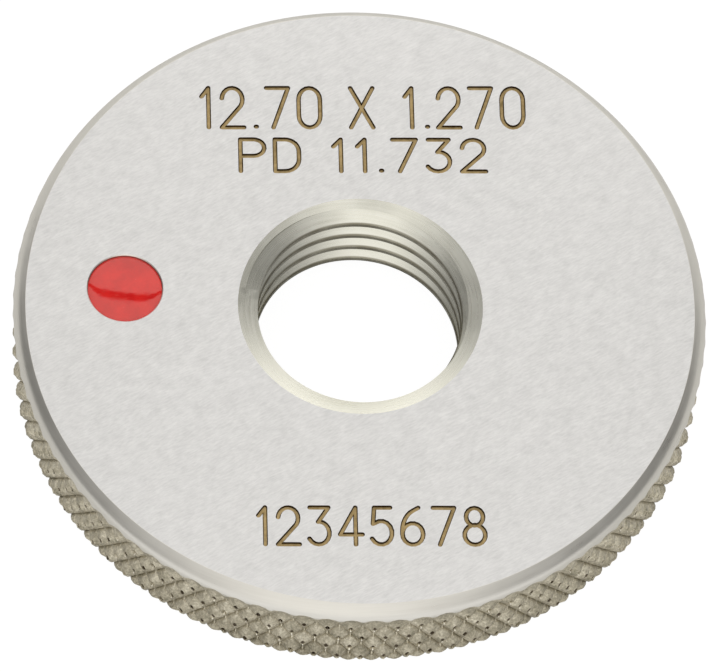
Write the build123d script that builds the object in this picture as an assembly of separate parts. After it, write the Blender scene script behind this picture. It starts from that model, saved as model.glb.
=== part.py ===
"""Thread ring gauge: a flat hardened ring with a threaded bore, a diamond-knurled rim and an enamel marker dot.

The ring lies flat. The origin is the centre of its lower face, +Z runs up along the bore to the marked face.
"""

import math
import os

from build123d import *

# Driving dimensions, in millimetres and degrees.
outside_diameter = 38.0
thickness = 6.0
minor_diameter = 11.2
countersink_diameter = 13.4
countersink_angle = 120.0
thread_pitch = 1.27
thread_depth = 0.54
thread_flank_angle = 30.0
thread_root_width = 0.06
thread_steps_per_turn = 24

# The rim's bevels: two slopes at the marked face, one at the lower face.
upper_bevel_width = 0.68
upper_bevel_break_width = 0.14
upper_bevel_break_below_face = 0.48
upper_bevel_height = 0.97
lower_bevel_width = 0.70
lower_bevel_height = 0.55

# The knurl: raised diamonds between two crossing families of wide V grooves, which fade towards the upper face.
knurl_teeth = 93
knurl_row_height = 1.07
knurl_first_row_below_face = 0.80
knurl_start_angle = 0.65
knurl_depth_at_face = 0.03
knurl_depth_full = 0.36
knurl_fade_height = 2.6

# The marker: enamel in a round recess of the upper face.
marker_diameter = 4.1
marker_centre = (-12.9, -0.3)
recess_depth = 0.8
enamel_edge_below_face = 0.16
enamel_crown_below_face = 0.03

crest_radius = outside_diameter / 2
tooth_angle = 2 * math.pi / knurl_teeth
rows_above_first = math.ceil(knurl_first_row_below_face / knurl_row_height)
rows_below_first = math.ceil((thickness - knurl_first_row_below_face) / knurl_row_height)


def groove_depth(z):
    """Depth of the knurl's grooves below the crests, which fades towards the upper face."""
    share = min(max((thickness - z) / knurl_fade_height, 0), 1)
    return knurl_depth_at_face + (knurl_depth_full - knurl_depth_at_face) * share**2


def rim_point(radius, turn, z):
    """Point on the rim; turn counts in teeth from the knurl's first tooth."""
    angle = math.radians(knurl_start_angle) + turn * tooth_angle
    return Vector(radius * math.cos(angle), radius * math.sin(angle), z)


def groove_crossing(turn, z):
    """Bottom of the pit where two grooves cross."""
    return rim_point(crest_radius - groove_depth(z), turn, z)


def triangle(*corners):
    return Face(Wire.make_polygon(corners, close=True))


def half_diamond(turn, z, rise):
    """The two flanks of the raised diamond centred at (turn, z) that lie above or below its tip."""
    tip = rim_point(crest_radius, turn, z)
    left_pit = groove_crossing(turn - 0.5, z)
    right_pit = groove_crossing(turn + 0.5, z)
    far_pit = groove_crossing(turn, z + rise * knurl_row_height)
    return [triangle(left_pit, tip, far_pit), triangle(tip, right_pit, far_pit)]


def end_cap(turn_shift, z):
    """Flat end of the knurled bar, through the tips of one row of diamonds."""
    corners = []
    for tooth in range(knurl_teeth):
        turn = tooth + turn_shift
        corners += [groove_crossing(turn - 0.5, z), rim_point(crest_radius, turn, z)]
    return Face(Wire.make_polygon(corners, close=True))


def knurled_bar():
    """Solid bar with the knurl all over its side, a little longer than the ring is thick."""
    faces = []
    for row in range(-rows_above_first, rows_below_first + 1):
        z = thickness - knurl_first_row_below_face - row * knurl_row_height
        shift = 0.5 * (row % 2)
        for tooth in range(knurl_teeth):
            if row > -rows_above_first:
                faces += half_diamond(tooth + shift, z, 1)
            if row < rows_below_first:
                faces += half_diamond(tooth + shift, z, -1)
        if row in (-rows_above_first, rows_below_first):
            faces.append(end_cap(shift, z))
    return Solid(Shell(faces))


def turned_blank():
    """Ring as turned and ground, before knurling: bevelled rim, bore and a countersink at each end of it."""
    bore = minor_diameter / 2
    mouth = countersink_diameter / 2
    sink = (mouth - bore) / math.tan(math.radians(countersink_angle / 2))
    outline = Polyline(
        (mouth, 0),
        (crest_radius - lower_bevel_width, 0),
        (crest_radius, lower_bevel_height),
        (crest_radius, thickness - upper_bevel_height),
        (crest_radius - upper_bevel_break_width, thickness - upper_bevel_break_below_face),
        (crest_radius - upper_bevel_width, thickness),
        (mouth, thickness),
        (bore, thickness - sink),
        (bore, sink),
        close=True,
    )
    return revolve(Plane.XZ * make_face(outline), Axis.Z)


def thread_section(step):
    """Trapezoid of the thread's groove, from inside the bore out to the root, after a number of steps round."""
    angle = 2 * math.pi * step / thread_steps_per_turn
    z = thread_pitch * (step / thread_steps_per_turn - 1)
    root = minor_diameter / 2 + thread_depth
    mouth = minor_diameter / 2 - 0.25
    root_half = thread_root_width / 2
    mouth_half = root_half + (root - mouth) * math.tan(math.radians(thread_flank_angle))
    corners = [(mouth, -mouth_half), (root, -root_half), (root, root_half), (mouth, mouth_half)]
    return [Vector(r * math.cos(angle), r * math.sin(angle), z + rise) for r, rise in corners]


def thread_groove():
    """Right-hand helical groove of the thread, from below the lower face to above the upper one."""
    turns = math.ceil(thickness / thread_pitch) + 2
    sections = [thread_section(step) for step in range(turns * thread_steps_per_turn + 1)]
    faces = [Face(Wire.make_polygon(sections[0], close=True))]
    faces.append(Face(Wire.make_polygon(sections[-1], close=True)))
    for near, far in zip(sections, sections[1:]):
        for corner in range(4):
            following = (corner + 1) % 4
            faces.append(triangle(near[corner], near[following], far[following]))
            faces.append(triangle(near[corner], far[following], far[corner]))
    return Solid(Shell(faces))


def marker_recess():
    return Pos(*marker_centre, thickness - recess_depth) * extrude(Circle(marker_diameter / 2), recess_depth)


def marker_enamel():
    """Enamel filling the recess, crowned by surface tension and just below the face."""
    edge = (marker_diameter / 2, recess_depth - enamel_edge_below_face)
    crown = (0, recess_depth - enamel_crown_below_face)
    crown_rise = crown[1] - edge[1]
    crown_radius = (edge[0] ** 2 + crown_rise**2) / (2 * crown_rise)
    outline = Polyline(crown, (0, 0), (marker_diameter / 2, 0), edge) + RadiusArc(edge, crown, -crown_radius)
    enamel = revolve(Plane.XZ * make_face(outline), Axis.Z)
    return Pos(*marker_centre, thickness - recess_depth) * enamel


def main():
    ring = turned_blank() - thread_groove()
    ring = ring & knurled_bar()
    ring -= marker_recess()
    parts = {"gauge_ring": ring, "red_marker": marker_enamel()}
    os.makedirs("parts", exist_ok=True)
    for name, part in parts.items():
        part.label = name
        export_step(part, f"parts/{name}.step")


main()
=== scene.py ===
"""Looks of the thread ring gauge: knurled rim, thread, engraving, enamel dot, steel, studio and camera."""
import math

import bmesh
import bpy
import numpy as np
from mathutils import Matrix


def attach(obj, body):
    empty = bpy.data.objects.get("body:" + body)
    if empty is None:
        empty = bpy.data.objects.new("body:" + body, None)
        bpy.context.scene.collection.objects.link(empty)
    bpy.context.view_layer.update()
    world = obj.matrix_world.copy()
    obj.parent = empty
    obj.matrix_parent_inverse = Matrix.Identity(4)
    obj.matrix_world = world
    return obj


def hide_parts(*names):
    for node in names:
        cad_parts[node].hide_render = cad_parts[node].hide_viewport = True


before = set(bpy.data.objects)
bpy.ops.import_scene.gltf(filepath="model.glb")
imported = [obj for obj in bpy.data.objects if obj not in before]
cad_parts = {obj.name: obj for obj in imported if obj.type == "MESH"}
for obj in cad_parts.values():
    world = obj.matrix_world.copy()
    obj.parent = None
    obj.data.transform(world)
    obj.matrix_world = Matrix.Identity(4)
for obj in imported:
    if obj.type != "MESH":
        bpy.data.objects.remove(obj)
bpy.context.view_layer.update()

MM = 0.001

# The ring, in millimetres. All but the lower bevel is as its solids have it.
THICKNESS = 6.0
CREST_RADIUS = 19.0
UPPER_BEVEL = [
    (CREST_RADIUS - inward, THICKNESS - below)
    for inward, below in ((0.68, 0), (0.14, 0.48), (0, 0.97))
]
LOWER_BEVEL = [(CREST_RADIUS - 0.60, 0.0), (CREST_RADIUS, 0.42)]
BORE_RADIUS = 5.6
MOUTH_RADIUS = 6.7
SINK_DEPTH = (MOUTH_RADIUS - BORE_RADIUS) / math.tan(math.radians(60))
MARKER_CENTRE = (-12.9, -0.3)
MARKER_RADIUS = 2.05
RECESS_DEPTH = 0.8

# Radius of the blank's bore, before it is countersunk and threaded.
BLANK_BORE = 3.0

# The knurl: diamonds on a lattice. Its axes p and q each count the grooves of one of two families.
# Within a diamond, s and t run along p and q, from -0.5 at one groove to 0.5 at the next.
TEETH = 93
ROW_HEIGHT = 1.07
FIRST_ROW = THICKNESS - 0.80
START_ANGLE = math.radians(0.65)
TOOTH_ANGLE = 2 * math.pi / TEETH
VALLEY_DEPTH = 0.34
SCORE_DEPTH = 0.12
SCORE_EDGE = 0.5 - 0.09
PIT_DEPTH = 0.21

# Distances below the upper face: where the knurl's grooves begin and where they are full.
GROOVE_FADE = (0.35, 2.5)
# Where the flanks, S-shaped above, begin to straighten, and where they are as straight as they get.
FLANK_FADE = (0.6, 2.0)
STRAIGHT_SHARE = 0.75

# The thread. Its groove is deeper than the solid's, as the real one is.
PITCH = 1.27
THREAD_ROOT = 6.37

# An engraved stroke: half its width at the face and at its floor, and its depth.
STROKE_HALF_WIDTH = 0.13
STROKE_FLOOR_HALF_WIDTH = 0.08
STROKE_DEPTH = 0.11


def new_mesh(name, points_mm, faces):
    """Closed mesh from points in millimetres, its faces turned outwards."""
    mesh = bpy.data.meshes.new(name)
    mesh.from_pydata((np.asarray(points_mm, float) * MM).tolist(), [], faces)
    mesh.validate()
    work = bmesh.new()
    work.from_mesh(mesh)
    if work.calc_volume(signed=True) < 0:
        bmesh.ops.reverse_faces(work, faces=work.faces)
    work.to_mesh(mesh)
    work.free()
    piece = bpy.data.objects.new(name, mesh)
    bpy.context.scene.collection.objects.link(piece)
    return piece


def boolean(target, tool, operation):
    """Cuts the target with the tool, or joins or intersects them, and removes the tool."""
    modifier = target.modifiers.new("cut", "BOOLEAN")
    modifier.operation = operation
    modifier.solver = "MANIFOLD"
    modifier.object = tool
    graph = bpy.context.evaluated_depsgraph_get()
    result = bpy.data.meshes.new_from_object(target.evaluated_get(graph))
    target.modifiers.clear()
    old = target.data
    target.data = result
    bpy.data.meshes.remove(old)
    bpy.data.objects.remove(tool)


def fade(low, high, x):
    """0 below low, 1 above high, smooth between."""
    t = min(max((x - low) / (high - low), 0), 1)
    return t * t * (3 - 2 * t)


def knurl_drop(s, t, z):
    """How far below the crests a diamond's surface lies, apart from its pit and its own height."""
    reach = max(abs(s), abs(t))
    down = THICKNESS - z
    curved = 1 - STRAIGHT_SHARE * fade(*FLANK_FADE, down)
    share = 2 * reach * (1 - curved) + fade(0.1, 0.38, reach) * curved
    if reach > SCORE_EDGE + 1e-6:
        share += SCORE_DEPTH / VALLEY_DEPTH
    return VALLEY_DEPTH * fade(*GROOVE_FADE, down) * share


class Diamond:
    """One diamond of the knurl, as a square patch of mesh; its pit and its height vary at random."""

    steps_across = 10

    def __init__(self, row, tooth, random):
        self.p, self.q = tooth + row, tooth
        self.pit_depth = PIT_DEPTH * random.uniform(0.5, 1.15) * (row > 0)
        pit_size = random.uniform(0.12, 0.165)
        self.pit_shift = random.uniform(-0.03, 0.03, 2) + (0.02, -0.02)
        self.lift = random.uniform(-0.012, 0.0)
        half = [pit_size * 0.6, pit_size, 0.26, SCORE_EDGE, 0.5]
        self.steps = [-step for step in reversed(half)] + [0] + half

    def key(self, i, j):
        """The same for every diamond that has this point."""
        a, b = self.p * self.steps_across + i, self.q * self.steps_across + j
        return (a - b, b % (TEETH * self.steps_across))

    def point(self, i, j):
        """Place of one of the patch's points, in millimetres."""
        s, t = self.steps[i], self.steps[j]
        middle = self.steps_across // 2
        from_middle = max(abs(i - middle), abs(j - middle))
        in_pit = from_middle <= 2
        p = self.p + s + in_pit * self.pit_shift[0]
        q = self.q + t + in_pit * self.pit_shift[1]
        z = FIRST_ROW - (p - q) * ROW_HEIGHT
        radius = CREST_RADIUS - knurl_drop(s, t, z)
        if from_middle < 2:
            radius -= self.pit_depth * (1.0, 0.9)[from_middle]
        if max(abs(s), abs(t)) < 0.5:
            radius += self.lift
        angle = START_ANGLE + (p + q) / 2 * TOOTH_ANGLE
        return (radius * math.cos(angle), radius * math.sin(angle), z)


def knurled_bar():
    """Bar with the knurl on its side, longer than the ring is thick. Its mesh lines follow the grooves."""
    random = np.random.RandomState(7)
    count = Diamond.steps_across
    index = {}
    points = []
    faces = []
    for row in range(-1, 7):
        for tooth in range(TEETH):
            diamond = Diamond(row, tooth, random)
            grid = {}
            for i in range(count + 1):
                for j in range(count + 1):
                    key = diamond.key(i, j)
                    if key not in index:
                        index[key] = len(points)
                        points.append(diamond.point(i, j))
                    grid[i, j] = index[key]
            for i in range(count):
                for j in range(count):
                    faces.append((grid[i, j], grid[i, j + 1], grid[i + 1, j + 1], grid[i + 1, j]))

    # Each open end is closed by a cone to a point on the axis, well clear of the ring.
    edges = dict.fromkeys((a, b) for face in faces for a, b in zip(face, face[1:] + face[:1]))
    open_edges = [(a, b) for a, b in edges if (b, a) not in edges]
    above = len(points)
    below = above + 1
    points += [(0, 0, 9.0), (0, 0, -3.0)]
    for a, b in open_edges:
        faces.append((b, a, above if points[a][2] > THICKNESS / 2 else below))
    return new_mesh("knurled_bar", points, faces)


def revolved(name, outline, segments, closed=True):
    """Solid of revolution from (r, z) points; those on the axis are single points."""
    points, rings = [], []
    for r, z in outline:
        if r == 0:
            rings.append([len(points)] * segments)
            points.append((0, 0, z))
            continue
        rings.append([len(points) + k for k in range(segments)])
        for k in range(segments):
            angle = 2 * math.pi * k / segments
            points.append((r * math.cos(angle), r * math.sin(angle), z))
    faces = []
    pairs = list(zip(rings, rings[1:]))
    if closed:
        pairs.append((rings[-1], rings[0]))
    for low, high in pairs:
        for k in range(segments):
            m = (k + 1) % segments
            face = [low[k], low[m], high[m], high[k]]
            face = [v for n, v in enumerate(face) if v not in face[:n]]
            if len(face) > 2:
                faces.append(tuple(face))
    return new_mesh(name, points, faces)


def rounded(corner_a, corner, corner_b, radius, steps):
    """Points of the fillet at a corner of an outline, from the side of corner_a to that of corner_b."""
    a, c, b = (np.array(v, float) for v in (corner_a, corner, corner_b))
    u, v = (a - c) / np.linalg.norm(a - c), (b - c) / np.linalg.norm(b - c)
    half = math.acos(float(u @ v)) / 2
    reach = radius / math.tan(half)
    middle = c + (u + v) / np.linalg.norm(u + v) * radius / math.sin(half)
    start, end = c + u * reach - middle, c + v * reach - middle
    turn = math.acos(float(start @ end) / radius**2)
    out = []
    for n in range(steps + 1):
        t = n / steps
        w = (math.sin((1 - t) * turn) * start + math.sin(t * turn) * end) / math.sin(turn)
        out.append(tuple(middle + w))
    return out


def past_crests(near, far):
    """Where the line from near to far comes out a little past the knurl's crests."""
    radius = CREST_RADIUS + 0.05
    return (radius, near[1] + (far[1] - near[1]) * (radius - near[0]) / (far[0] - near[0]))


def bevels():
    """The rim's two bevels as (r, z) points, the lower one from the face outwards, the upper inwards."""
    # Radii of the rounded corners.
    lower_edge, upper_break, upper_edge = 0.05, 1.2, 0.04
    rim_low = past_crests(*LOWER_BEVEL)
    rim_high = past_crests(*UPPER_BEVEL[1:])
    lower = rounded((BLANK_BORE, 0), LOWER_BEVEL[0], rim_low, lower_edge, 2) + [rim_low]
    upper = [rim_high] + rounded(rim_high, UPPER_BEVEL[1], UPPER_BEVEL[0], upper_break, 8)
    upper += rounded(UPPER_BEVEL[1], UPPER_BEVEL[0], (BLANK_BORE, THICKNESS), upper_edge, 2)
    return lower, upper


def blank():
    """Ring without knurl, thread or marking; its rim lies outside the knurl."""
    lower, upper = bevels()
    outline = [(BLANK_BORE, 0), *lower, *upper, (BLANK_BORE, THICKNESS)]
    return revolved("gauge_ring_detail", outline, 4 * TEETH)


def mouth_cutter(upper):
    """Void of one countersink, from inside the blank's bore to a little past the face."""
    slope = (MOUTH_RADIUS - BORE_RADIUS) / SINK_DEPTH
    inner, flare, past = 2.5, 0.02, 0.3
    bottom = THICKNESS - SINK_DEPTH - (BORE_RADIUS - inner) / slope
    outline = [
        (0, bottom),
        (inner, bottom),
        (MOUTH_RADIUS, THICKNESS),
        (MOUTH_RADIUS + flare, THICKNESS + 0.01),
        (MOUTH_RADIUS + flare, THICKNESS + past),
        (0, THICKNESS + past),
    ]
    if not upper:
        outline = [(r, THICKNESS - z) for r, z in reversed(outline)]
    return revolved("mouth", outline, 192, closed=False)


def recess_cutter():
    """Void of the marker's recess, with a small bevel at the face."""
    bevel, past = 0.05, 0.2
    outline = [
        (0, THICKNESS - RECESS_DEPTH),
        (MARKER_RADIUS, THICKNESS - RECESS_DEPTH),
        (MARKER_RADIUS, THICKNESS - bevel),
        (MARKER_RADIUS + bevel, THICKNESS),
        (MARKER_RADIUS + bevel, THICKNESS + past),
        (0, THICKNESS + past),
    ]
    piece = revolved("recess", outline, 96, closed=False)
    piece.location = (MARKER_CENTRE[0] * MM, MARKER_CENTRE[1] * MM, 0)
    bpy.context.view_layer.update()
    return piece


def screw_surface(around, low, high, profile):
    """Points of a screw between two heights, in rings that each follow the thread for one turn."""
    shares = [share for share, _ in profile] + [1.0]
    depths = [depth for _, depth in profile] + [0.0]
    rings, points = [], []
    for turn in range(-2, int((high - low) / PITCH) + 3):
        for start, _ in profile:
            ring = []
            for k in range(around):
                angle = 2 * math.pi * k / around
                z = low + (turn + start + k / around) * PITCH
                z = min(max(z, low), high)
                phase = ((z - low) / PITCH - k / around) % 1.0
                radius = BORE_RADIUS + (THREAD_ROOT - BORE_RADIUS) * np.interp(phase, shares, depths)
                ring.append(len(points))
                points.append((radius * math.cos(angle), radius * math.sin(angle), z))
            rings.append(ring)
    return rings, points


def lies_at(vertices, level):
    """Whether all these vertices lie at one height, in millimetres."""
    return all(abs(vertex.co.z - level * MM) < 1e-9 for vertex in vertices)


def thread_cutter():
    """Male screw that leaves the internal thread when it is taken from the ring."""
    around, low, high = 144, -0.6, THICKNESS + 0.6
    # Shares of the pitch, and the share of the thread's depth at each.
    profile = [
        (0.0, 0), (0.20, 0), (0.235, 0.05), (0.53, 0.95),
        (0.56, 1), (0.64, 1), (0.67, 0.95), (0.965, 0.05),
    ]
    rings, points = screw_surface(around, low, high, profile)
    faces = []
    per_turn = len(profile)
    for n in range(len(rings) - 1):
        for k in range(around):
            if k + 1 < around:
                a, b = rings[n][k + 1], rings[n + 1][k + 1]
            elif n + 1 + per_turn < len(rings):
                a, b = rings[n + per_turn][0], rings[n + 1 + per_turn][0]
            else:
                continue
            faces.append((rings[n][k], a, b, rings[n + 1][k]))
    piece = new_mesh("screw", points, faces)

    # What would reach past either end was pressed flat there. One face takes its place.
    work = bmesh.new()
    work.from_mesh(piece.data)
    bmesh.ops.remove_doubles(work, verts=work.verts, dist=1e-7)
    bmesh.ops.dissolve_degenerate(work, edges=work.edges, dist=1e-8)
    flat = [face for face in work.faces if lies_at(face.verts, low) or lies_at(face.verts, high)]
    bmesh.ops.delete(work, geom=flat, context="FACES")
    for level in (low, high):
        rim = [edge for edge in work.edges if edge.is_boundary and lies_at(edge.verts, level)]
        bmesh.ops.edgeloop_fill(work, edges=rim)
    bmesh.ops.recalc_face_normals(work, faces=work.faces)
    work.to_mesh(piece.data)
    work.free()
    return piece


def arc(cx, cy, rx, ry, start, end, steps=10):
    """Points of an elliptic arc, with its angles in degrees."""
    angles = [math.radians(start + (end - start) * n / steps) for n in range(steps + 1)]
    return [(cx + rx * math.cos(angle), cy + ry * math.sin(angle)) for angle in angles]


# Single-stroke figures on a cell one unit high, and how far each one moves the pen on.
FIGURES = {
    "0": [arc(0.28, 0.70, 0.28, 0.30, 0, 180) + arc(0.28, 0.30, 0.28, 0.30, 180, 360) + [(0.56, 0.70)]],
    "1": [[(0.06, 0.78), (0.24, 1.0), (0.24, 0.0)]],
    "2": [arc(0.28, 0.71, 0.27, 0.29, 175, -35, 12) + [(0.0, 0.0), (0.58, 0.0)]],
    "3": [[(0.03, 1.0), (0.53, 1.0), (0.25, 0.61)] + arc(0.26, 0.31, 0.29, 0.31, 85, -150, 12)],
    "4": [[(0.42, 0.0), (0.42, 1.0), (0.0, 0.27), (0.60, 0.27)]],
    "5": [[(0.52, 1.0), (0.09, 1.0), (0.05, 0.56)] + arc(0.27, 0.32, 0.29, 0.32, 125, -150, 12)],
    "6": [
        [(0.44, 1.0)]
        + arc(0.46, 0.36, 0.46, 0.60, 112, 178, 6)
        + arc(0.28, 0.29, 0.28, 0.29, 180, 540, 18)
    ],
    "7": [[(0.0, 1.0), (0.57, 1.0), (0.17, 0.0)]],
    "8": [arc(0.28, 0.76, 0.23, 0.24, -90, 270, 16), arc(0.28, 0.27, 0.28, 0.27, 90, 450, 18)],
    "9": [
        [(0.12, 0.0)]
        + arc(0.10, 0.64, 0.46, 0.60, -68, -2, 6)
        + arc(0.28, 0.71, 0.28, 0.29, 0, 360, 18)
    ],
    "X": [[(0.0, 1.0), (0.58, 0.0)], [(0.0, 0.0), (0.58, 1.0)]],
    "P": [
        [(0.0, 0.0), (0.0, 1.0), (0.32, 1.0)]
        + arc(0.32, 0.74, 0.26, 0.26, 80, -90, 8)
        + [(0.0, 0.48)]
    ],
    "D": [
        [(0.0, 0.0), (0.0, 1.0), (0.24, 1.0)]
        + arc(0.24, 0.62, 0.34, 0.38, 80, 0, 6)
        + arc(0.24, 0.38, 0.34, 0.38, 0, -90, 6)
        + [(0.0, 0.0)]
    ],
    ".": [[(0.05, 0.02), (0.07, 0.02)]],
}
ADVANCE = {".": 0.34, "1": 0.58, " ": 0.52}
COMMON_ADVANCE = 0.84
FIGURE_WIDTH = 0.57


def text_strokes(text, start, end, height):
    """Strokes of a line of figures, in millimetres, spread from start to end along its base line."""
    widths = [ADVANCE.get(character, COMMON_ADVANCE) for character in text]
    total = sum(widths) - (widths[-1] - FIGURE_WIDTH)
    origin = np.array(start, float)
    along = np.array(end, float) - origin
    length = float(np.linalg.norm(along))
    along /= length
    across = np.array([-along[1], along[0]])
    scale = length / total
    out = []
    pen = 0.0
    for character, width in zip(text, widths):
        for stroke in FIGURES.get(character, []):
            out.append([tuple(origin + along * (pen + x) * scale + across * y * height) for x, y in stroke])
        pen += width
    return out


def smooth_runs(stroke):
    """The stroke, cut wherever it turns a corner or has bent a long way since the last cut."""
    corner, longest_bend = math.radians(32), math.radians(140)
    runs, run, turned = [], [stroke[0]], 0.0
    for before, here, after in zip(stroke, stroke[1:], stroke[2:]):
        run.append(here)
        first = math.atan2(here[1] - before[1], here[0] - before[0])
        second = math.atan2(after[1] - here[1], after[0] - here[0])
        bend = abs((second - first + math.pi) % (2 * math.pi) - math.pi)
        turned += bend
        if bend > corner or turned > longest_bend:
            runs.append(run)
            run, turned = [here], 0.0
    run.append(stroke[-1])
    runs.append(run)
    return runs


def outline_around(points, headings, r):
    """Points at a distance r on either side of a run, with a half circle round each end."""
    left, right = [], []
    for n, (before, after) in enumerate(zip(headings, headings[1:]), 1):
        bend = (after - before + math.pi) % (2 * math.pi) - math.pi
        middle = before + bend / 2
        reach = r / math.cos(bend / 2)
        side = np.array([-math.sin(middle), math.cos(middle)]) * reach
        left.append(points[n] + side)
        right.append(points[n] - side)
    caps = []
    for centre, heading in ((points[-1], headings[-1]), (points[0], headings[0] + math.pi)):
        angles = [heading - math.pi / 2 + math.pi * n / 8 for n in range(9)]
        caps.append([centre + r * np.array([math.cos(angle), math.sin(angle)]) for angle in angles])
    return right + caps[0] + left[::-1] + caps[1]


def trough(run):
    """Closed tapered cutter along one smooth run, with round ends."""
    above = 0.2
    slope = (STROKE_HALF_WIDTH - STROKE_FLOOR_HALF_WIDTH) / STROKE_DEPTH
    points = [np.array(point, float) for point in run]
    headings = [math.atan2(*(b - a)[::-1]) for a, b in zip(points, points[1:])]
    low = outline_around(points, headings, STROKE_FLOOR_HALF_WIDTH)
    high = outline_around(points, headings, STROKE_HALF_WIDTH + slope * above)
    size = len(low)
    faces = [(k, (k + 1) % size, size + (k + 1) % size, size + k) for k in range(size)]
    faces += [tuple(reversed(range(size))), tuple(range(size, 2 * size))]
    corners = [(x, y, THICKNESS - STROKE_DEPTH) for x, y in low]
    corners += [(x, y, THICKNESS + above) for x, y in high]
    return new_mesh("trough", corners, faces)


def engraving_cutter(lines):
    """One cutter for the whole marking."""
    pieces = [trough(run) for strokes in lines for stroke in strokes for run in smooth_runs(stroke)]
    while len(pieces) > 1:
        for first, second in zip(pieces[::2], pieces[1::2]):
            boolean(first, second, "UNION")
        pieces = pieces[::2]
    return pieces[0]


def marking():
    """Plain figures: the thread's diameter and pitch, its pitch diameter, and a row of digits."""
    return [
        text_strokes("12.70 X 1.270", (-9.75, 10.2), (8.05, 12.15), 2.5),
        text_strokes("PD 11.732", (-7.25, 7.7), (6.15, 9.15), 2.0),
        text_strokes("12345678", (-4.35, -15.25), (8.0, -13.95), 2.25),
    ]


class Nodes:
    """Short hand for building a material's or world's node tree."""

    def __init__(self, owner):
        owner.use_nodes = True
        self.tree = owner.node_tree
        self.tree.nodes.clear()

    def add(self, kind, inputs=None, **settings):
        node = self.tree.nodes.new(kind)
        for key, value in settings.items():
            setattr(node, key, value)
        for key, value in (inputs or {}).items():
            socket = node.inputs[key]
            if isinstance(value, bpy.types.NodeSocket):
                self.tree.links.new(value, socket)
            else:
                socket.default_value = value
        return node

    def math(self, operation, a, b=0.0, c=0.0):
        return self.add("ShaderNodeMath", {0: a, 1: b, 2: c}, operation=operation).outputs[0]

    def times(self, a, b):
        return self.math("MULTIPLY", a, b)

    def vector(self, operation, a, b):
        return self.add("ShaderNodeVectorMath", {0: a, 1: b}, operation=operation).outputs

    def noise(self, vector, scale, detail=3.0, rough=0.55):
        inputs = {"Vector": vector, "Scale": scale, "Detail": detail, "Roughness": rough}
        return self.add("ShaderNodeTexNoise", inputs).outputs["Fac"]

    def ramp(self, factor, stops):
        node = self.add("ShaderNodeValToRGB", {"Fac": factor})
        elements = node.color_ramp.elements
        while len(elements) < len(stops):
            elements.new(0.5)
        for element, (position, colour) in zip(elements, stops):
            element.position = position
            element.color = (*colour, 1.0)
        return node.outputs["Color"]

    def remap(self, value, low, high, to_low, to_high):
        node = self.add("ShaderNodeMapRange", {0: value, 1: low, 2: high, 3: to_low, 4: to_high})
        return node.outputs[0]

    def cover(self, share, below, above):
        """The colour below, with the colour above over it as far as the share says."""
        node = self.add("ShaderNodeMix", {0: share, 6: below, 7: (*above, 1)}, data_type="RGBA")
        return node.outputs[2]

    def millimetres(self):
        place = self.add("ShaderNodeTexCoord").outputs["Object"]
        return self.add("ShaderNodeMapping", {"Vector": place, "Scale": (1000, 1000, 1000)}).outputs[0]

    def surface(self, colour, rough, height, bump, metallic=1.0, more=None):
        """The material's shader and output; bump is the relief's strength and its depth in millimetres."""
        strength, depth = bump
        relief = {"Strength": strength, "Distance": depth * MM, "Height": height}
        normal = self.add("ShaderNodeBump", relief).outputs[0]
        inputs = {"Base Color": colour, "Metallic": metallic, "Roughness": rough, "Normal": normal}
        shader = self.add("ShaderNodeBsdfPrincipled", inputs | (more or {}))
        self.add("ShaderNodeOutputMaterial", {"Surface": shader.outputs[0]})


def steel(name, dark, light, roughness, grain, bump, stretch=(1, 1, 1), turn=0.0, mottle=0.35):
    """Steel whose grain is noise stretched along one direction, over a broader mottle."""
    material = bpy.data.materials.new(name)
    n = Nodes(material)
    place = n.millimetres()
    lay = n.add("ShaderNodeMapping", {"Vector": place, "Rotation": (0, 0, turn)}).outputs[0]
    lay = n.add("ShaderNodeMapping", {"Vector": lay, "Scale": stretch}).outputs[0]
    fine = n.noise(lay, grain, 4.0)
    broad = n.noise(place, mottle, 2.0)
    both = n.math("MULTIPLY_ADD", fine, 0.65, n.times(broad, 0.35))
    colour = n.ramp(both, [(0.3, dark), (0.7, light)])
    n.surface(colour, n.remap(both, 0.3, 0.7, *roughness), fine, bump)
    return material


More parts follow.
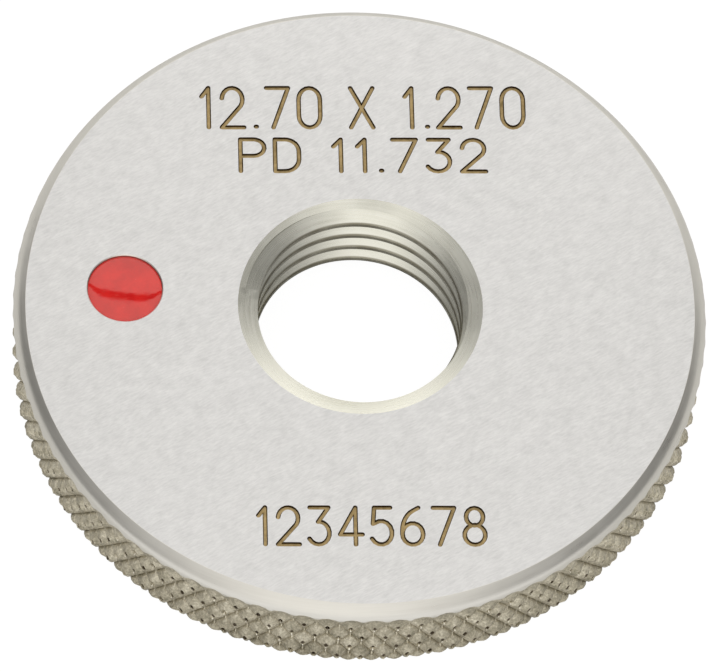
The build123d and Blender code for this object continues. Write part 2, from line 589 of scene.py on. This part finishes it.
def knurl_steel():
    """Matt warm steel, with painted shade in the grooves and pits and a painted highlight on the lower wall
    below each pit.

    They are found from the knurl's own lattice. The top row has no pits, and the bottom row no painted
    highlights.
    """
    material = bpy.data.materials.new("knurl")
    n = Nodes(material)
    place = n.millimetres()
    fine = n.noise(place, 7.0, 4.0, 0.7)
    broad = n.noise(place, 1.2, 3.0)
    both = n.math("MULTIPLY_ADD", fine, 0.6, n.times(broad, 0.4))

    x, y, z = n.add("ShaderNodeSeparateXYZ", {"Vector": place}).outputs
    turn = n.math("MULTIPLY_ADD", n.math("ARCTAN2", y, x), 1 / TOOTH_ANGLE, -START_ANGLE / TOOTH_ANGLE)
    half_row = n.math("MULTIPLY_ADD", z, -0.5 / ROW_HEIGHT, 0.5 * FIRST_ROW / ROW_HEIGHT)
    p, q = n.math("ADD", turn, half_row), n.math("SUBTRACT", turn, half_row)
    s, t = (n.math("SUBTRACT", v, n.math("ROUND", v)) for v in (p, q))

    def reach_from(below):
        """How far s and t are from a point straight below the middle of the diamond."""
        away_s = n.math("ABSOLUTE", n.math("SUBTRACT", s, below))
        away_t = n.math("ABSOLUTE", n.math("ADD", t, below))
        return n.math("MAXIMUM", away_s, away_t)

    has_pit = n.remap(half_row, 0.3, 0.4, 0.0, 1.0)
    has_lip_highlight = n.times(has_pit, n.remap(half_row, 1.7, 1.8, 1.0, 0.0))
    # Painted shade: masks that darken the grooves, patchily, and the upper part of each pit, where shade
    # falls.
    groove = n.times(n.remap(reach_from(0.0), 0.45, 0.5, 0.0, 1.0), n.remap(broad, 0.35, 0.65, 0.2, 0.7))
    groove = n.times(groove, n.remap(fine, 0.3, 0.7, 0.4, 0.9))
    pit = n.times(n.remap(reach_from(0.03), 0.085, 0.105, 0.92, 0.0), has_pit)
    # Painted highlight: a bright patch on the lower wall of each pit, where it would catch the light.
    lip_highlight = n.times(n.remap(reach_from(0.145), 0.03, 0.05, 0.8, 0.0), has_lip_highlight)

    dark, middle, light = (0.25, 0.23, 0.165), (0.54, 0.495, 0.385), (0.88, 0.83, 0.69)
    colour = n.ramp(both, [(0.34, dark), (0.5, middle), (0.66, light)])
    # The painted shade's dark brown, laid over the steel in the grooves and pits.
    colour = n.cover(n.math("MAXIMUM", groove, pit), colour, (0.09, 0.065, 0.04))
    # The painted highlight's pale colour.
    colour = n.cover(lip_highlight, colour, (0.95, 0.91, 0.80))
    n.surface(colour, n.remap(both, 0.3, 0.7, 0.36, 0.56), fine, (0.7, 0.03))
    return material


def turned_steel(name, dark, light, roughness, bump, crest_shade_strength=0.0):
    """Steel with fine rings round the axis, as a lathe leaves them, and painted shade on the thread's
    crests.
    """
    rings_per_mm = 7.0
    material = bpy.data.materials.new(name)
    n = Nodes(material)
    place = n.millimetres()
    x, y, z = n.add("ShaderNodeSeparateXYZ", {"Vector": place}).outputs
    radius = n.math("SQRT", n.math("ADD", n.times(x, x), n.times(y, y)))
    rings = {"X": n.times(radius, rings_per_mm), "Y": n.times(z, rings_per_mm), "Z": 0.0}
    around = n.add("ShaderNodeCombineXYZ", rings).outputs[0]
    wander = n.vector("MULTIPLY", place, (0.35, 0.35, 0.35))[0]
    fine = n.noise(n.vector("ADD", around, wander)[0], 1.0, 3.0)
    broad = n.noise(place, 0.6, 2.0)
    both = n.math("MULTIPLY_ADD", fine, 0.6, n.times(broad, 0.4))
    colour = n.ramp(both, [(0.3, dark), (0.7, light)])
    if crest_shade_strength:
        # Painted shade: the thread's crests darkened, patchily, below the countersink, for the dark they
        # mirror from below the bore.
        sink_bottom = THICKNESS - SINK_DEPTH
        crest_shade = n.remap(radius, BORE_RADIUS + 0.05, BORE_RADIUS + 0.11, crest_shade_strength, 0.0)
        crest_shade = n.times(crest_shade, n.remap(z, sink_bottom - 0.1, sink_bottom, 1.0, 0.0))
        crest_shade = n.times(crest_shade, n.remap(broad, 0.3, 0.6, 0.7, 1.0))
        # The painted shade's dark brown.
        colour = n.cover(crest_shade, colour, (0.11, 0.09, 0.045))
    n.surface(colour, n.remap(both, 0.3, 0.7, *roughness), fine, bump)
    return material


def enamel():
    """Glossy red enamel, a little cloudy and uneven, with a few pale specks."""
    material = bpy.data.materials.new("red_enamel_gloss")
    n = Nodes(material)
    place = n.millimetres()
    cloud = n.noise(place, 1.1, 3.0)
    speck = n.remap(n.noise(place, 9.0, 2.0), 0.70, 0.78, 0.0, 0.5)
    tone = n.ramp(cloud, [(0.3, (0.62, 0.009, 0.010)), (0.7, (0.80, 0.015, 0.013))])
    colour = n.cover(speck, tone, (0.72, 0.16, 0.12))
    rough = n.remap(cloud, 0.3, 0.7, 0.05, 0.09)
    gloss = {"Specular Tint": (1.0, 0.80, 0.62, 1.0), "Coat Weight": 1.0, "Coat Roughness": 0.03}
    n.surface(colour, rough, n.noise(place, 1.6, 2.0), (0.15, 0.05), metallic=0.0, more=gloss)
    return material


def ring_materials():
    """The ring's materials by kind of surface."""
    return {
        "face": steel(
            "lapped_face", (0.585, 0.58, 0.572), (0.755, 0.748, 0.738), (0.34, 0.46), 2.4, (0.3, 0.01),
            stretch=(1.1, 4.5, 1), turn=math.radians(-35), mottle=1.3,
        ),
        "bevel": turned_steel("bevel", (0.64, 0.62, 0.57), (0.72, 0.70, 0.65), (0.26, 0.36), (0.1, 0.01)),
        "knurl": knurl_steel(),
        "bore": turned_steel(
            "bore", (0.64, 0.63, 0.55), (0.80, 0.79, 0.71), (0.20, 0.34), (0.2, 0.01), crest_shade_strength=0.8,
        ),
        "floor": steel(
            "marking_floor", (0.20, 0.14, 0.06), (0.56, 0.42, 0.21), (0.4, 0.6), 3.0, (0.4, 0.02),
        ),
        # The strokes' walls: the floor's brown made far darker, painted shade on the steep walls of the
        # cut.
        "wall": steel(
            "marking_wall", (0.05, 0.03, 0.015), (0.12, 0.08, 0.04), (0.4, 0.6), 4.0, (0.4, 0.02),
        ),
    }


def triples(items, attribute):
    """Three numbers of each vertex or face of a mesh, as rows."""
    values = np.empty(len(items) * 3)
    items.foreach_get(attribute, values)
    return values.reshape(-1, 3)


def on_bevels(radius, z, outward, up):
    """Which faces are the rim's bevels: on one of their lines and turned as it is, or at their edges."""
    edge_reach, edge_height = 0.06, 0.08
    found = np.zeros(len(radius), bool)
    for bevel in bevels():
        for (r0, z0), (r1, z1) in zip(bevel, bevel[1:]):
            length = math.hypot(r1 - r0, z1 - z0)
            side_r, side_z = (z1 - z0) / length, (r0 - r1) / length
            off = np.abs((radius - r0) * side_r + (z - z0) * side_z)
            along = ((radius - r0) * (r1 - r0) + (z - z0) * (z1 - z0)) / length**2
            facing = outward * side_r + up * side_z
            found |= (off < 0.006) & (np.abs(along - 0.5) < 0.52) & (facing > 0.999)
    found |= (radius < UPPER_BEVEL[0][0] + edge_reach) & (z > THICKNESS - edge_height)
    found |= (radius < LOWER_BEVEL[0][0] + edge_reach) & (z < edge_height)
    return found


def dress_ring(piece):
    """One material for each kind of surface, told apart by where each face lies and how it is turned."""
    kinds = ring_materials()
    names = list(kinds)
    mesh = piece.data
    mesh.materials.clear()
    for material in kinds.values():
        mesh.materials.append(material)

    # The cuts may leave the points of a flat face a hair off its plane.
    points = triples(mesh.vertices, "co")
    for plane in (0.0, THICKNESS * MM):
        points[np.abs(points[:, 2] - plane) < 1e-3 * MM, 2] = plane
    mesh.vertices.foreach_set("co", points.ravel())
    mesh.update()

    x, y, z = (triples(mesh.polygons, "center") / MM).T
    normal_x, normal_y, up = triples(mesh.polygons, "normal").T
    radius = np.hypot(x, y)
    outward = (x * normal_x + y * normal_y) / radius
    level = ((z > THICKNESS - 1e-4) | (z < 1e-4)) & (radius < CREST_RADIUS - 0.5)
    inside = (radius > MOUTH_RADIUS + 0.05) & (radius < LOWER_BEVEL[0][0] - 0.2)
    near_dot = np.hypot(x - MARKER_CENTRE[0], y - MARKER_CENTRE[1]) < MARKER_RADIUS + 0.1

    slot = np.full(len(mesh.polygons), names.index("knurl"))
    slot[on_bevels(radius, z, outward, up)] = names.index("bevel")
    slot[radius < MOUTH_RADIUS + 0.05] = names.index("bore")
    slot[inside] = names.index("wall")
    slot[inside & (np.abs(up) > 0.999) & (z < THICKNESS - 0.05)] = names.index("floor")
    slot[level] = names.index("face")
    slot[near_dot & ~level] = names.index("bevel")
    mesh.polygons.foreach_set("material_index", slot.astype(np.int32))
    mesh.polygons.foreach_set("use_smooth", ~level)
    mesh.set_sharp_from_angle(angle=math.radians(28))
    mesh.update()


def gauge_ring():
    """The ring, cut from its blank."""
    piece = blank()
    boolean(piece, knurled_bar(), "INTERSECT")
    for upper in (True, False):
        boolean(piece, mouth_cutter(upper), "DIFFERENCE")
    boolean(piece, thread_cutter(), "DIFFERENCE")
    boolean(piece, recess_cutter(), "DIFFERENCE")
    boolean(piece, engraving_cutter(marking()), "DIFFERENCE")
    dress_ring(piece)
    return piece


def enamel_dot():
    """Enamel in the recess: a shallow dome whose edge turns down to meet the wall."""
    edge, crown = THICKNESS - 0.16, THICKNESS - 0.03
    radius = MARKER_RADIUS - 0.012
    bottom = THICKNESS - RECESS_DEPTH + 0.01
    steps = 14
    outline = [(0, bottom), (radius, bottom)]
    for n in range(steps + 1):
        r = radius * (1 - n / steps)
        drop = (r / radius) ** 2 * 0.75 + (r / radius) ** 10 * 0.25
        outline.append((r, crown - (crown - edge) * drop))
    piece = revolved("enamel_dot", outline, 72, closed=False)
    piece.location = (MARKER_CENTRE[0] * MM, MARKER_CENTRE[1] * MM, 0)
    bpy.context.view_layer.update()
    piece.data.transform(piece.matrix_world)
    piece.matrix_world = Matrix.Identity(4)
    piece.data.materials.append(enamel())
    piece.data.polygons.foreach_set("use_smooth", np.ones(len(piece.data.polygons), bool))
    piece.data.set_sharp_from_angle(angle=math.radians(40))
    return piece


def studio():
    """White room seen by the camera; soft light from the back, the top and the front, darker sides."""
    world = bpy.data.worlds.new("studio")
    bpy.context.scene.world = world
    n = Nodes(world)
    direction = n.add("ShaderNodeTexCoord").outputs["Generated"]
    x, y, z = n.add("ShaderNodeSeparateXYZ", {"Vector": direction}).outputs
    level = n.times(n.remap(x, -0.95, -0.22, 0.17, 1.0), n.remap(x, 0.22, 0.95, 1.0, 0.20))
    # Angle in the plane that halves the view: 0 at the back horizon, 90 straight up, 180 at the front.
    swing = n.times(n.math("ARCTAN2", z, y), 180 / math.pi)
    # A dark gap between two lights, which the enamel mirrors as its dark band.
    bowed = n.math("MULTIPLY_ADD", n.times(x, x), 46.0, swing)
    gap = n.times(n.remap(bowed, 62.3, 63.0, 0.0, 1.0), n.remap(bowed, 64.8, 65.6, 1.0, 0.0))
    level = n.times(level, n.math("MULTIPLY_ADD", gap, -0.95, 1.0))
    # The photographer's lens, a darker spot in what the back of the bore mirrors.
    towards_lens = n.vector("DOT_PRODUCT", direction, (0.0, -0.484, 0.875))["Value"]
    lens = n.remap(towards_lens, 0.970, 0.985, 0.0, 1.0)
    level = n.times(level, n.math("MULTIPLY_ADD", lens, -0.3, 1.0))
    low_back = n.remap(swing, 4.0, 30.0, 1.0, 0.0)
    level = n.times(level, n.math("MULTIPLY_ADD", low_back, 0.5, 1.22))
    warm = {"Red": level, "Green": n.times(level, 0.99), "Blue": n.times(level, 0.97)}
    colour = n.add("ShaderNodeCombineColor", warm).outputs[0]
    light = n.add("ShaderNodeBackground", {"Color": colour, "Strength": 1.0}).outputs[0]
    white = n.add("ShaderNodeBackground", {"Color": (1, 1, 1, 1), "Strength": 1.0}).outputs[0]
    seen = n.add("ShaderNodeLightPath").outputs["Is Camera Ray"]
    mixed = n.add("ShaderNodeMixShader", {0: seen, 1: light, 2: white}).outputs[0]
    n.add("ShaderNodeOutputWorld", {"Surface": mixed})


def floor():
    """Pale floor a hair below the ring: it keeps the ring's shadow, and the rest of it reads as white."""
    half, level = 1.5, -0.02 * MM
    corners = [(-half, -half, level), (half, -half, level), (half, half, level), (-half, half, level)]
    mesh = bpy.data.meshes.new("floor")
    mesh.from_pydata(corners, [], [(0, 1, 2, 3)])
    piece = bpy.data.objects.new("floor", mesh)
    bpy.context.scene.collection.objects.link(piece)
    material = bpy.data.materials.new("floor_white")
    n = Nodes(material)
    place = n.add("ShaderNodeTexCoord").outputs["Object"]
    cloud = n.noise(place, 30.0)
    tone = n.ramp(cloud, [(0.3, (0.80, 0.80, 0.79)), (0.7, (0.83, 0.83, 0.82))])
    cloth = n.add("ShaderNodeBsdfDiffuse", {"Color": tone}).outputs[0]
    glow = n.add("ShaderNodeEmission", {"Color": (1, 1, 1, 1), "Strength": 1.12}).outputs[0]
    path = n.add("ShaderNodeLightPath").outputs
    # What the ring mirrors: a shaded floor around it, and a bright one further out in front.
    y = n.add("ShaderNodeSeparateXYZ", {"Vector": place}).outputs["Y"]
    bright = n.remap(y, -27.0 * MM, -23.5 * MM, 0.85, 0.10)
    seen = n.times(path["Is Camera Ray"], 0.85)
    mirrored = n.times(path["Is Glossy Ray"], bright)
    share = n.math("MAXIMUM", seen, mirrored)
    mixed = n.add("ShaderNodeMixShader", {0: share, 1: cloth, 2: glow}).outputs[0]
    n.add("ShaderNodeOutputMaterial", {"Surface": mixed})
    mesh.materials.append(material)


def place_camera():
    """Camera of the photograph: elevation, roll, focal length and distance fitted to the ring's edges.

    The focal length and the shifts are in pixels of the photograph, the distance in millimetres.
    """
    elevation, roll, focal, distance = math.radians(61.1587), math.radians(-5.4874), 11773.5, 646.18
    shift_x, shift_y = 1.967, 30.263
    picture_width, sensor_width = 717, 36
    # Where the ring's crests came out in the units of the fit.
    fitted_radius = 19.08
    scale = CREST_RADIUS / fitted_radius
    back = np.array([0, -math.cos(elevation), math.sin(elevation)])
    right = np.array([1.0, 0, 0])
    tilt = np.stack([right, np.cross(back, right), back])
    turn = np.array([[math.cos(roll), -math.sin(roll), 0], [math.sin(roll), math.cos(roll), 0], [0, 0, 1]])
    pan = math.atan(shift_x / focal)
    nod = math.atan(-shift_y / focal * math.cos(pan))
    pan_turn = np.array([[math.cos(pan), 0, -math.sin(pan)], [0, 1, 0], [math.sin(pan), 0, math.cos(pan)]])
    nod_turn = np.array([[1, 0, 0], [0, math.cos(nod), math.sin(nod)], [0, -math.sin(nod), math.cos(nod)]])
    to_camera = pan_turn @ nod_turn @ turn @ tilt
    offset = pan_turn @ nod_turn @ np.array([0, 0, -distance])
    centre = (-to_camera.T @ offset * scale + np.array([0, 0, THICKNESS])) * MM
    data = bpy.data.cameras.new("camera")
    data.sensor_width = sensor_width
    data.lens = focal * sensor_width / picture_width
    data.clip_end = 100
    camera = bpy.data.objects.new("camera", data)
    bpy.context.scene.collection.objects.link(camera)
    matrix = Matrix(to_camera.T.tolist()).to_4x4()
    matrix.translation = centre.tolist()
    camera.matrix_world = matrix
    bpy.context.scene.camera = camera


place_camera()

ring = gauge_ring()
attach(ring, "root")
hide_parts("gauge_ring")

dot = enamel_dot()
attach(dot, "root")
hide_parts("red_marker")

studio()
floor()
bpy.context.scene.view_settings.view_transform = "Standard"
